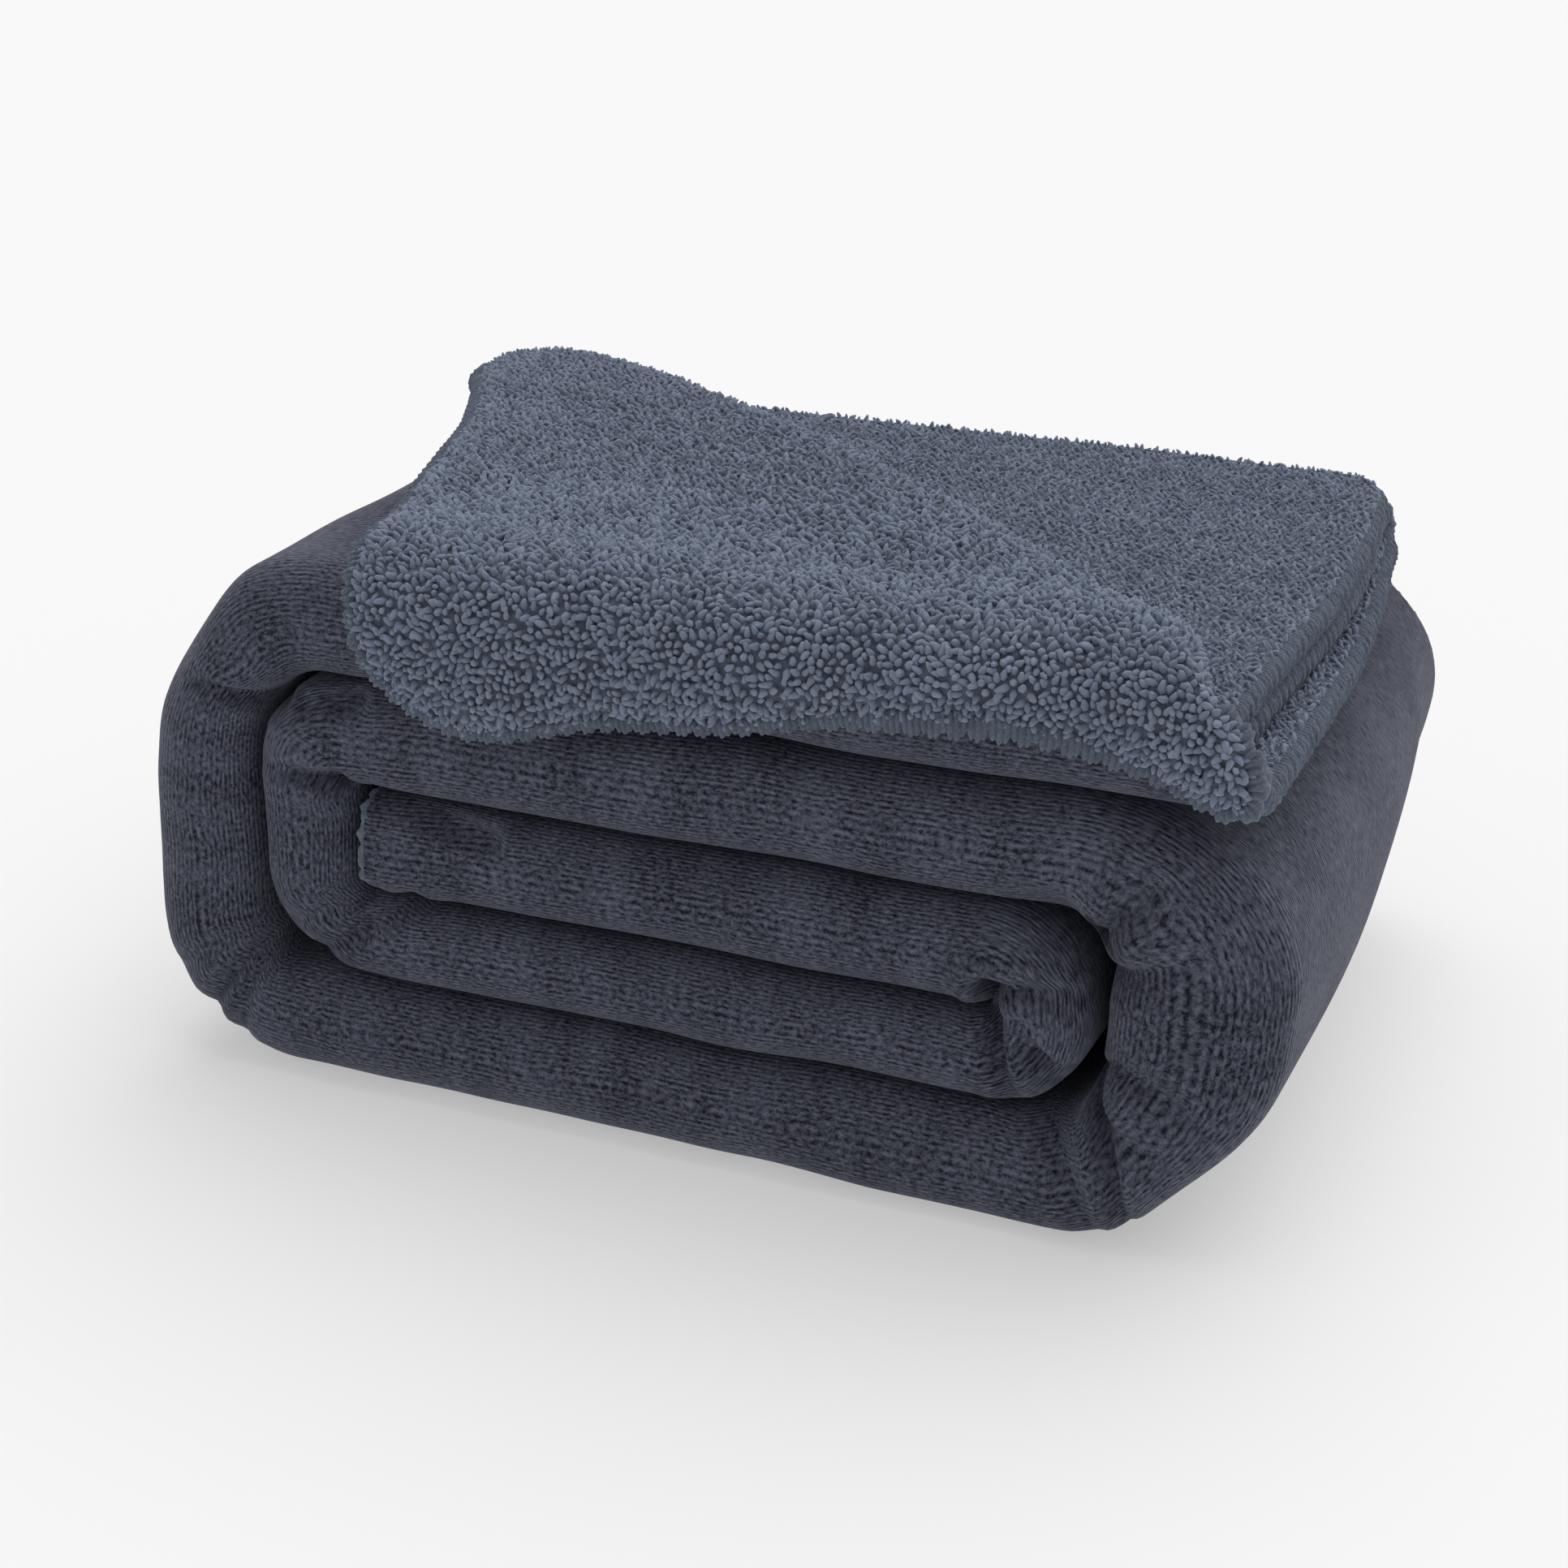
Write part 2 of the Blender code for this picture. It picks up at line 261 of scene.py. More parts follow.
def roundedEnd(point):
    # the blanket's corner at the end of ply 3 is cut round
    radius = pack["cornerRadius"]
    x, y, z = point
    out, aside = x - endX + radius, y - openY + radius
    if out > 0 and aside > 0:
        shareX, shareY = min(1.05, out / radius), min(1.05, aside / radius)
        x += out * (math.sqrt(1 - shareY * shareY / 2) - 1)
        y += aside * (math.sqrt(1 - shareX * shareX / 2) - 1)
    return x, y, z


plyOneStart = sum(length for length, at in sectionRuns[:4])
plyFourStart = sum(length for length, at in sectionRuns[:6])


def onTop(station):
    return station[1] >= topLevel - 0.001


def endShape(station, s, point):
    # the end of the top turn: a rounded corner, ply 1 reaching out past the others, the others
    # slanting a little
    if not onTop(station) or station[0] < 0:
        return point
    if s < pack["cornerRadius"]:
        point = roundedEnd(point)
    x, y, z = point
    outer = ease((s - plyOneStart) / 0.02) * ease((plyFourStart - s) / 0.03)
    reach = outer * pack["plyOneReach"] + (1 - outer) * pack["endSlant"] * over(y, pack["endSlantSpan"])
    return x + ease((x - endX + pack["endReach"]) / pack["endReach"]) * reach, y, z


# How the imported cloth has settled: creases pressed into the front folds, a slack right side, a left
# side that leans in, soft waves
settling = {
    "creases": [                # from (x, z) to (x, z), depth, half width
        ((-0.176, 0.1405), (-0.140, 0.1365), 0.0085, 0.0032),
        ((-0.140, 0.1365), (-0.108, 0.1425), 0.0075, 0.0032),
        ((-0.143, 0.1150), (-0.118, 0.1130), 0.0075, 0.0030),
        ((-0.118, 0.1130), (-0.060, 0.1010), 0.0060, 0.0032),
        ((-0.134, 0.0450), (-0.092, 0.0740), 0.0070, 0.0034),
        ((-0.138, 0.0590), (-0.105, 0.0740), 0.0040, 0.0036),
        ((-0.183, 0.0120), (-0.148, 0.0520), 0.0085, 0.0034),
        ((-0.168, 0.0060), (-0.147, 0.0500), 0.0060, 0.0030),
        ((-0.194, 0.0300), (-0.150, 0.0560), 0.0035, 0.0040),
        ((0.1580, 0.1250), (0.1460, 0.1080), 0.0130, 0.0042),
        ((0.1180, 0.1150), (0.1400, 0.1120), 0.0070, 0.0040),
        ((0.1700, 0.1030), (0.1450, 0.0930), 0.0080, 0.0046),
        ((0.1160, 0.0480), (0.1070, 0.0820), 0.0120, 0.0032),
        ((0.1330, 0.0860), (0.1080, 0.0830), 0.0090, 0.0030),
        ((0.1330, 0.0480), (0.1180, 0.0740), 0.0055, 0.0034),
        ((0.1400, 0.0570), (0.1200, 0.0640), 0.0045, 0.0030),
        ((0.1590, 0.0080), (0.1450, 0.0580), 0.0130, 0.0036),
        ((0.1830, 0.0480), (0.1500, 0.0640), 0.0075, 0.0044),
        ((0.1760, 0.0300), (0.1520, 0.0450), 0.0045, 0.0050),
        ((0.1440, 0.0060), (0.1270, 0.0400), 0.0075, 0.0040),
    ],
    "creaseLimit": 0.014,
    "creaseRim": 0.22,          # how much a crease's rims rise, as a share of its depth
    "frontDepth": 0.036,
    "standing": (0, 0.03),
    "wave": 0.0016,
    "frontWaveSize": (0.035, 0.022),
    "frontSag": 0.9,            # sags and top waves are shares of the wave
    "frontSagSize": 0.05,
    "topWave": 0.7,
    "topWaveSize": (0.07, 0.05, 0.09),
    "rightSide": (0.135, 0.055),
    "sideHollows": [            # (y, z), reach in y and z, depth
        ((0.150, 0.165), (0.110, 0.035), 0.018),
        ((0.150, 0.100), (0.080, 0.040), 0.010),
        ((0.150, 0.030), (0.130, 0.045), 0.028),
        ((-0.140, 0.010), (0.120, 0.045), 0.014),
    ],
    "slackCorners": [           # (x, z), reach in x and z, how far slack cloth fills a bend's inner corner
        ((0.150, 0.112), (0.014, 0.010), (-0.006, -0.006)),
        ((0.152, 0.048), (0.012, 0.014), (-0.006, 0.0)),
        ((-0.152, 0.153), (0.014, 0.009), (0.004, -0.004)),
    ],
    "leftSide": (-0.145, -0.045),
    "leftIn": 0.0015,
    "leftFootIn": 0.002,
    "leftFootReach": 0.03,
    # how far, then the spans that it comes in over
    "leftLean": (0.006, (0.02, 0.15)),
    "leftFrontFall": (0.005, (0.09, 0.085), (0.13, -0.26)),
    "frontCornerDrop": (0.001, (-0.12, -0.06), (0.12, 0.05), (0.06, -0.17)),
    "backPress": (0.010, (0.08, 0.06), (0.14, 0.03)),
    "footLevel": 0.0002,
}


def effect(share, name, *values):
    far, *spans = settling[name]
    share *= far
    for value, span in zip(values, spans):
        share *= over(value, span)
    return share


def ripple(x, y, z):
    # a soft wave about 1 long each way. Waves over two measures only give a number of their own as z
    return noise.noise(Vector((x, y, z)))


def hump(u, v, place, reach):
    # 1 at a place, falling away over its reach
    return math.exp(-(((u - place[0]) / reach[0]) ** 2) - ((v - place[1]) / reach[1]) ** 2)


def creaseDepth(x, z):
    # a crease is shallow where it starts and deepest where it ends, with a low rim along each side
    depth = 0
    for (x0, z0), (x1, z1), deep, width in settling["creases"]:
        alongX, alongZ = x1 - x0, z1 - z0
        share = ((x - x0) * alongX + (z - z0) * alongZ) / (alongX * alongX + alongZ * alongZ)
        if share < -0.4 or share > 1.4:
            continue
        held = min(1, max(0, share))
        away = math.hypot(x - x0 - alongX * held, z - z0 - alongZ * held) / width
        if away < 5:
            rim = settling["creaseRim"] * math.exp(-(((away - 2.3) / 1.1) ** 2))
            depth += deep * (0.3 + 0.7 * held) * (math.exp(-(away ** 1.5)) - rim)
    return depth


def settle(point):
    x, y, z = point
    wave, standing = settling["wave"], over(z, settling["standing"])
    front = ease((pack["front"] + settling["frontDepth"] - y) / settling["frontDepth"])
    if front:
        sizeX, sizeZ = settling["frontWaveSize"]
        sag = settling["frontSagSize"]
        y += front * min(settling["creaseLimit"], creaseDepth(x, z))
        y -= front * wave * ripple(x / sizeX, z / sizeZ, 3)
        z += front * standing * wave * settling["frontSag"] * ripple(x / sag, z / sag, 9)
        for place, reach, (slackX, slackZ) in settling["slackCorners"]:
            share = front * hump(x, z, place, reach)
            x, z = x + share * slackX, z + share * slackZ
    right = over(x, settling["rightSide"])
    if right:
        for place, reach, deep in settling["sideHollows"]:
            x -= right * deep * hump(y, z, place, reach)
    left = over(x, settling["leftSide"])
    if left:
        x += effect(left, "leftLean", z)
        x += effect(left, "leftFrontFall", z, y)
        foot = math.exp(-((z / settling["leftFootReach"]) ** 2))
        x += left * (settling["leftIn"] + settling["leftFootIn"] * foot)
        z -= effect(1, "frontCornerDrop", x, z, y)
    y -= effect(1, "backPress", y, z)
    sizeX, sizeY, sizeZ = settling["topWaveSize"]
    z += standing * wave * settling["topWave"] * ripple(x / sizeX, y / sizeY, z / sizeZ)
    return Vector((x, y, max(settling["footLevel"], z)))


# Materials

class Wire:
    def __init__(self, finish, socket):
        self.finish, self.socket = finish, socket

    def combine(self, operation, first, second):
        return self.finish.node("Math", {"operation": operation}, {0: first, 1: second})

    def __add__(self, other):
        return self.combine("ADD", self, other)

    def __sub__(self, other):
        return self.combine("SUBTRACT", self, other)

    def __rsub__(self, other):
        return self.combine("SUBTRACT", other, self)

    def __mul__(self, other):
        return self.combine("MULTIPLY", self, other)

    __radd__, __rmul__ = __add__, __mul__

    def sine(self):
        return self.finish.node("Math", {"operation": "SINE"}, {0: self})


class Finish:
    def __init__(self, name):
        self.material = bpy.data.materials.new(name)
        self.material.use_nodes = True
        self.tree = self.material.node_tree
        self.shader = self.tree.nodes["Principled BSDF"]

    def node(self, kind, settings=None, sockets=None, output=0):
        made = self.tree.nodes.new("ShaderNode" + kind)
        for key, value in (settings or {}).items():
            setattr(made, key, value)
        for key, value in (sockets or {}).items():
            self.feed(made.inputs[key], value)
        return Wire(self, made.outputs[output])

    def feed(self, socket, value):
        if isinstance(value, Wire):
            self.tree.links.new(value.socket, socket)
        else:
            socket.default_value = value

    def noise(self, vector, scale, detail=2, roughness=0.5):
        return self.node("TexNoise", None, {
            "Vector": vector, "Scale": scale, "Detail": detail, "Roughness": roughness})

    def levels(self, value, reach):
        # 0 at the reach's start, 1 at its end
        return self.node("MapRange", None, {"Value": value, 1: reach[0], 2: reach[1]})

    def colour(self, share, first, second):
        mixed = self.node("Mix", {"data_type": "RGBA"}, {0: share, 6: first, 7: second}, 2)
        self.feed(self.shader.inputs["Base Color"], mixed)

    def bump(self, height, distance):
        raised = self.node("Bump", None, {"Height": height, "Distance": distance, "Strength": 1})
        self.feed(self.shader.inputs["Normal"], raised)

    def plain(self, **values):
        for key, value in values.items():
            self.shader.inputs[key.replace("_", " ")].default_value = value


velvet = {
    "dark": (0.006, 0.007, 0.014, 1),
    "light": (0.142, 0.150, 0.200, 1),
    "ribPitch": 0.00152,
    "ribDrift": 0.0007,
    "ribDepth": 0.00020,
    "fleckScale": 1050,
    "fleckStretch": (0.40, 1, 1),
    "streakScale": 48,
    "streakStretch": (1, 0.4, 1),
    "shares": (1.50, 0.38, 0.14),       # of the flecks, streaks and ribs in the tone; the ribs' share is painted shade in the grooves and painted highlight on the crests
    "toneRange": (0.81, 1.31),
    "roughness": 0.95,
    "lightSmoothing": 0.12,
    "sheen": 0.16,
    "sheenTint": (0.75, 0.80, 0.95, 1),
}


def makeVelvet():
    finish = Finish("ribbedVelvet")
    uv = finish.node("UVMap", {"uv_map": "cloth"})
    across = finish.node("SeparateXYZ", None, {0: uv}, 1)
    drift = finish.noise(uv, 55, 2) * velvet["ribDrift"]
    ribs = ((across + drift) * (2 * math.pi / velvet["ribPitch"])).sine() * 0.5 + 0.5
    fleckPlace = finish.node("Mapping", None, {"Vector": uv, "Scale": velvet["fleckStretch"]})
    flecks = finish.noise(fleckPlace, velvet["fleckScale"], 4, 0.75)
    streakPlace = finish.node("Mapping", None, {"Vector": uv, "Scale": velvet["streakStretch"]})
    streaks = finish.noise(streakPlace, velvet["streakScale"], 4, 0.65)
    fleckShare, streakShare, paintedRibShading = velvet["shares"]
    # the ribs lighten the crests and darken the grooves: painted highlight and painted shade on their relief,
    # which the bump also raises
    tone = finish.levels(flecks * fleckShare + streaks * streakShare + ribs * paintedRibShading, velvet["toneRange"])
    finish.colour(tone, velvet["dark"], velvet["light"])
    finish.feed(finish.shader.inputs["Roughness"], velvet["roughness"] - tone * velvet["lightSmoothing"])
    finish.bump(ribs * 0.75 + flecks * 0.5, velvet["ribDepth"])
    finish.plain(Sheen_Weight=velvet["sheen"], Sheen_Roughness=0.45, Sheen_Tint=velvet["sheenTint"],
                 Specular_IOR_Level=0.15)
    return finish.material


sherpa = {
    # ground and groundLight are kept dark: painted shade in the gaps between the curls
    "ground": (0.045, 0.056, 0.084, 1),
    "groundLight": (0.115, 0.139, 0.194, 1),
    "groundTuftScale": 330,
    "groundDepth": 0.0022,
    "groundRange": (0.35, 1.25),
    "dark": (0.150, 0.182, 0.256, 1),
    "light": (0.235, 0.278, 0.372, 1),
    "shares": (0.40, 0.7, 0.35),        # of the tufts, clouds and fibres in the tone
    "toneRange": (0.30, 1.10),
    "fibreScale": 2600,
    "fibreDepth": 0.00035,
    "sheen": 0.30,
}


def makeSherpa():
    # the backing and the pressed pile between the plies. Its colours are dark as painted shade in the gaps
    # between the curls, and darker still where its bumps meet as painted shade between them
    finish = Finish("sherpaGroundPaintedShade")
    place = finish.node("TexCoord", None, None, "Object")
    tufts = finish.node("TexVoronoi", {"feature": "SMOOTH_F1"}, {
        "Vector": place, "Scale": sherpa["groundTuftScale"], "Smoothness": 0.4, "Randomness": 1})
    clouds = finish.noise(place, 45, 3)
    # darker away from each bump's middle: painted shade where the bumps meet
    tone = finish.levels(1.1 - tufts + clouds * 0.4, sherpa["groundRange"])
    finish.colour(tone, sherpa["ground"], sherpa["groundLight"])
    finish.bump(1 - tufts, sherpa["groundDepth"])
    finish.plain(Roughness=0.95, Sheen_Weight=sherpa["sheen"], Specular_IOR_Level=0.15)
    return finish.material


def makeCurls():
    finish = Finish("sherpaCurls")
    place = finish.node("TexCoord", None, None, "Object")
    tufts = finish.node("Attribute", {"attribute_name": "tone"}, None, "Fac")
    clouds = finish.noise(place, 40, 3)
    fibres = finish.noise(place, sherpa["fibreScale"], 2)
    tuftShare, cloudShare, fibreShare = sherpa["shares"]
    tone = finish.levels(tufts * tuftShare + clouds * cloudShare + fibres * fibreShare, sherpa["toneRange"])
    finish.colour(tone, sherpa["dark"], sherpa["light"])
    finish.bump(fibres, sherpa["fibreDepth"])
    finish.plain(Roughness=0.95, Sheen_Weight=sherpa["sheen"], Sheen_Roughness=0.5, Specular_IOR_Level=0.15)
    return finish.material


yarn = {
    "dark": (0.056, 0.069, 0.099, 1),
    "light": (0.150, 0.181, 0.242, 1),
    "twistScale": 1400,
    "twistDepth": 0.0004,
    "toneRange": (0.40, 0.85),
}


def makeYarn():
    finish = Finish("overlockYarn")
    place = finish.node("TexCoord", None, None, "Object")
    twist = finish.noise(place, yarn["twistScale"], 3, 0.6)
    clouds = finish.noise(place, 120, 2)
    tone = finish.levels(twist * 0.8 + clouds * 0.4, yarn["toneRange"])
    finish.colour(tone, yarn["dark"], yarn["light"])
    finish.bump(twist, yarn["twistDepth"])
    finish.plain(Roughness=0.85, Sheen_Weight=0.2, Specular_IOR_Level=0.2)
    return finish.material


velvetFinish, shadedGroundFinish, curlFinish, yarnFinish = makeVelvet(), makeSherpa(), makeCurls(), makeYarn()
print("made the finishes")


# Making pieces

def shownPiece(name, mesh):
    mesh.shade_smooth()
    piece = bpy.data.objects.new(name, mesh)
    bpy.context.scene.collection.objects.link(piece)
    return piece


def finished(name, bm, material):
    mesh = bpy.data.meshes.new(name)
    bm.to_mesh(mesh)
    bm.free()
    mesh.materials.append(material)
    return shownPiece(name, mesh)


def gridPiece(name, columns, rows, place, material, uvOf=None, tube=False, turned=False, shown=None):
    # a grid of columns by rows, each point put at place(column, row). A tube's first and last rows are joined
    bm = bmesh.new()
    bmesh.ops.create_grid(bm, x_segments=columns - 1, y_segments=rows - 1, size=1)
    uvLayer = bm.loops.layers.uv.new("cloth")
    shownLayer = bm.verts.layers.float.new("shown") if shown else None
    spots = {}
    for vert in bm.verts:
        column = round((vert.co.x + 1) / 2 * (columns - 1))
        row = round((vert.co.y + 1) / 2 * (rows - 1))
        spots[vert] = column, row
        vert.co = place(column, row)
        if shown:
            vert[shownLayer] = shown(column, row, vert.co)
    if uvOf:
        for quad in bm.faces:
            for loop in quad.loops:
                loop[uvLayer].uv = uvOf(*spots[loop.vert])
    if turned:
        bmesh.ops.reverse_faces(bm, faces=bm.faces[:])
    if tube:
        bmesh.ops.remove_doubles(bm, verts=bm.verts[:], dist=1e-6)
        bmesh.ops.holes_fill(bm, edges=[edge for edge in bm.edges if edge.is_boundary], sides=0)
        bmesh.ops.recalc_face_normals(bm, faces=bm.faces[:])
    return finished(name, bm, material)


# The winding, cut where the top turn's cloth starts: in the mitre of the lower left bend
stations = windingLine(packCorners(), pack["columnStep"])
fineStations = windingLine(packCorners(), pack["fineStep"])


def cutAt(line):
    startX, startZ = pack["topStart"]
    return min(range(len(line)), key=lambda i: math.hypot(line[i][0] - startX, line[i][1] - startZ))


cut, fineCut = cutAt(stations), cutAt(fineStations)
rolled, top = stations[:cut + 1], stations[cut:]
fineRolled, fineTop = fineStations[:fineCut + 1], fineStations[fineCut:]

# Corner flap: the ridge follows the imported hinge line, a little bowed
flap = {
    "columns": 190,
    "rows": 74,
    "rollRows": 10,             # of those, the rows round the ridge
    "ridgeLength": 0.4600,
    "ridgeBow": -0.022,
    "ridgeHook": 0.016,
    "ridgeLoft": 0.0075,
    "loftReach": 0.055,
    "loftEnd": 0.95,            # share of the ridge's length
    "rollRadius": 0.0100,
    "rollEnd": 0.12,            # share of the roll's size left at the ridge's ends
    "edgeThinning": 0.55,       # share of the pile pressed away at the cut edge, and over what length
    "edgeReach": 0.010,
    "leftDrop": 0.18,           # share of the top left bend's fall that the flap follows
    "fallEnd": 0.94,            # share of the bend's radius where the fall stops growing
    "drapeGap": 0.0028,         # slack over the front fold, and over what length it comes in
    "drapeReach": 0.03,
    "taperStart": 0.07,
    "taperEnd": 0.05,
    "hemSpan": (-0.07, -0.06),
    # depth, then sizes
    "topRipple": (0.0012, 0.05),
    "hemRipple": (0.0022, 0.028, 0.03),
    "hemScallop": (0.0015, 0.0135),
    # cut edge on the unbent top, from the ridge's start at the front right round to its back end
    "outline": [
        (0.1740, -0.1390), (0.1840, -0.1450), (0.1870, -0.1560), (0.1790, -0.1600), (0.1600, -0.1530),
        (0.1350, -0.1485), (0.1060, -0.1470), (0.0690, -0.1505), (0.0270, -0.1580), (-0.0050, -0.1625),
        (-0.0470, -0.1720), (-0.0680, -0.1720), (-0.0860, -0.1640),
        (-0.0980, -0.1500), (-0.1060, -0.1220), (-0.1150, -0.0920), (-0.1270, -0.0520), (-0.1390, -0.0130),
        (-0.1550, 0.0300), (-0.1780, 0.0780), (-0.1960, 0.1080), (-0.2010, 0.1260),
    ],
}
hinge = Vector(joints["corner_fold"]["pos_m"])
ridgeWay = Vector(joints["corner_fold"]["axis"]).to_2d().normalized()
flapWay = Vector((-ridgeWay.y, ridgeWay.x))       # square to the ridge, towards the flap
if flapWay.y > 0:
    flapWay = -flapWay


def ridgePoint(share):
    bow = flap["ridgeBow"] * share * (1 - share) + flap["ridgeHook"] * share ** 3
    return hinge.to_2d() + ridgeWay * flap["ridgeLength"] * share + flapWay * bow


ridgeSteps = 200
ridgeSamples = [ridgePoint(i / ridgeSteps) for i in range(ridgeSteps + 1)]


def ridgeYAt(x):
    if x >= ridgeSamples[0].x:
        return ridgeSamples[0].y
    for one, two in zip(ridgeSamples, ridgeSamples[1:]):
        if two.x <= x:
            return one.y + (two.y - one.y) * (one.x - x) / (one.x - two.x)
    return 1


def curveThrough(points, count):
    # a smooth line through the points, in even steps
    perPoint = 12
    dense = []
    for i in range(len(points) - 1):
        p0, p1, p2, p3 = (Vector(points[min(max(i + k, 0), len(points) - 1)]) for k in (-1, 0, 1, 2))
        for n in range(perPoint):
            t = n / perPoint
            dense.append(0.5 * (2 * p1 + (p2 - p0) * t + (2 * p0 - 5 * p1 + 4 * p2 - p3) * t * t
                                + (3 * p1 - p0 - 3 * p2 + p3) * t ** 3))
    dense.append(Vector(points[-1]))
    lengths = [0.0]
    for one, two in zip(dense, dense[1:]):
        lengths.append(lengths[-1] + (two - one).length)
    line, at = [], 0
    for i in range(count + 1):
        goal = lengths[-1] * i / count
        while at < len(dense) - 2 and lengths[at + 1] < goal:
            at += 1
        line.append(dense[at].lerp(dense[at + 1], (goal - lengths[at]) / (lengths[at + 1] - lengths[at])))
    return line


# the flattened front fold from its top to its front, with the length so far, in even steps of its angle
bendSteps = 240
bend = [Vector(squared(i / bendSteps * math.pi / 2)) for i in range(bendSteps + 1)]
bendLengths = [0.0]
for one, two in zip(bend, bend[1:]):
    bendLengths.append(bendLengths[-1] + (two - one).length)


def draped(flat, height):
    # flat on the pack, and hanging over the front fold past its edge
    height += flap["drapeGap"] * ease((foldY + flap["drapeReach"] - flat.y) / flap["drapeReach"])
    reach = half + height
    if flat.y >= foldY:
        return Vector((flat.x, flat.y, topLevel + reach))
    travel = (foldY - flat.y) / half
    if travel < bendLengths[-1]:
        at = bisect.bisect_right(bendLengths, travel) - 1
        share = (travel - bendLengths[at]) / (bendLengths[at + 1] - bendLengths[at])
        cos, sin = bend[at].lerp(bend[at + 1], share)
        return Vector((flat.x, foldY - reach * sin, topLevel + reach * cos))
    return Vector((flat.x, foldY - reach, topLevel - (travel - bendLengths[-1]) * half))


def leftFall(point):
    # past the start of the top left bend the cloth lies down over it
    start = pack["leftX"] + pack["topBend"]
    if point.x < start:
        radius = pack["topBend"] + half * pack["leftLooseness"]
        past = min(start - point.x, radius * flap["fallEnd"])
        point.z -= flap["leftDrop"] * (radius - math.sqrt(radius * radius - past * past))
    return point


def flapPoint(flat, height):
    up, upSize = flap["topRipple"]
    out, sizeX, sizeZ = flap["hemRipple"]
    scallop, scallopSize = flap["hemScallop"]
    x, y, z = leftFall(draped(flat, height))
    hem = over(y, flap["hemSpan"])
    z += up * ripple(x / upSize, y / upSize, 4)
    y -= hem * out * ripple(x / sizeX, z / sizeZ, 7)
    y -= hem * scallop * math.sin(x / scallopSize)
    return Vector((x, y, z))


flapColumns, flapRows, rollRows = flap["columns"], flap["rows"], flap["rollRows"]
outline = curveThrough(flap["outline"], flapColumns - 1)


def alongRidge(column):
    return column / (flapColumns - 1)


def flapFlat(column, share):
    # from the ridge to the cut edge
    return ridgePoint(alongRidge(column)).lerp(outline[column], share)


def ridgeLoft(column, fromRidge=0):
    along = alongRidge(column)
    if along >= flap["loftEnd"]:
        return 0
    loft = flap["ridgeLoft"] * math.sin(math.pi * min(1, along * 1.05)) ** 0.8
    return loft * (1 - ease(fromRidge / flap["loftReach"]))


def ridgeTaper(column):
    along = alongRidge(column)
    end = flap["rollEnd"]
    return end + (1 - end) * ease(along / flap["taperStart"]) * ease((1 - along) / flap["taperEnd"])


def flapPilePlace(column, row):
    # rows go round the rounded ridge from below, then over the flap to its cut edge
    ridge = ridgePoint(alongRidge(column))
    topHeight = gap + face + gap + pile
    if row < rollRows:
        angle = row / rollRows * math.pi
        taper = ridgeTaper(column)
        out = flap["rollRadius"] * taper * math.sin(angle)
        low, high = -pile * taper, topHeight + ridgeLoft(column)
        return flapPoint(ridge - flapWay * out, low + (high - low) * (1 - math.cos(angle)) / 2)
    flat = flapFlat(column, (row - rollRows) / (flapRows - 1 - rollRows))
    loft = ridgeLoft(column, (flat - ridge).length)
    toEdge = (flat - outline[column]).length
    thinning = pile * flap["edgeThinning"] * (1 - ease(toEdge / flap["edgeReach"])) ** 2
    return flapPoint(flat, topHeight + loft - thinning)


def flapFacePlace(column, row):
    flat = flapFlat(column, row / (flapRows - 1))
    fromRidge = (flat - ridgePoint(alongRidge(column))).length
    return flapPoint(flat, gap + 0.4 * ridgeLoft(column, fromRidge))


def flapUv(steps):
    # a point's place on the unbent flap, for a grid with so many steps from the ridge to the edge
    def uvOf(column, row):
        flat = flapFlat(column, row / steps)
        return flat.x, flat.y

    return uvOf


# Face cloth and lining
cloths = {
    # steps along each run of the section, in its order
    "rollFace": (5, 4, 5, 6, 14, 30, 40),
    "topFace": (5, 4, 5, 6, 14, 30, 52),
    "rollLining": (4, 3, 4, 4, 5, 8, 5),
    "topLining": (54, 4, 8, 6, 10, 12, 30),
    "heldBack": 0.0002,         # between rows that the corner's cut draws back to the ridge
    # which of the lining's pile shows
    "pastFold": 0.003,
    "underRidge": 0.010,
    "endBand": 0.030,
    "rightFrom": 0.055,         # x and y where the curls of the lining and the flap are parted
    "frontFrom": -0.045,
}
faceOffset = gap / 2 + face
pileOffset = -gap / 2 - pile


def wound(line, marks, offset, cutAtRidge=False):
    # place and uv of a cloth's points, from its stations and its marks across the strip

    def clipped(column, row):
        if not cutAtRidge or not onTop(line[column]):
            return marks[row]
        end = sectionLength - max(0, openY - ridgeYAt(line[column][0]))
        return min(marks[row], end - (len(marks) - 1 - row) * cloths["heldBack"])

    def place(column, row):
        mark = clipped(column, row)
        return settle(endShape(line[column], mark, stripPoint(line[column], mark, offset)))

    def uvOf(column, row):
        return line[column][5], clipped(column, row)

    return place, uvOf


faceMarks = sectionMarks(cloths["rollFace"])
place, uvOf = wound(rolled, faceMarks, faceOffset)
rollCloth = gridPiece("rollFaceCloth", len(rolled), len(faceMarks), place, velvetFinish, uvOf)
topMarks = sectionMarks(cloths["topFace"])
place, uvOf = wound(top, topMarks, faceOffset, True)
topCloth = gridPiece("topFaceCloth", len(top), len(topMarks), place, velvetFinish, uvOf)
flapCloth = gridPiece("flapFaceCloth", flapColumns, flapRows, flapFacePlace, velvetFinish,
                      flapUv(flapRows - 1), turned=True)
print("laid the face cloth")

liningMarks = sectionMarks(cloths["rollLining"])
liningLine = rolled[::2] + (rolled[-1:] if len(rolled) % 2 == 0 else [])
place, uvOf = wound(liningLine, liningMarks, pileOffset)
rollLining = gridPiece("rollSherpaLining", len(liningLine), len(liningMarks), place, shadedGroundFinish, uvOf,
                       turned=True)
topLiningMarks = sectionMarks(cloths["topLining"])
plyThreeLength = sectionRuns[0][0]


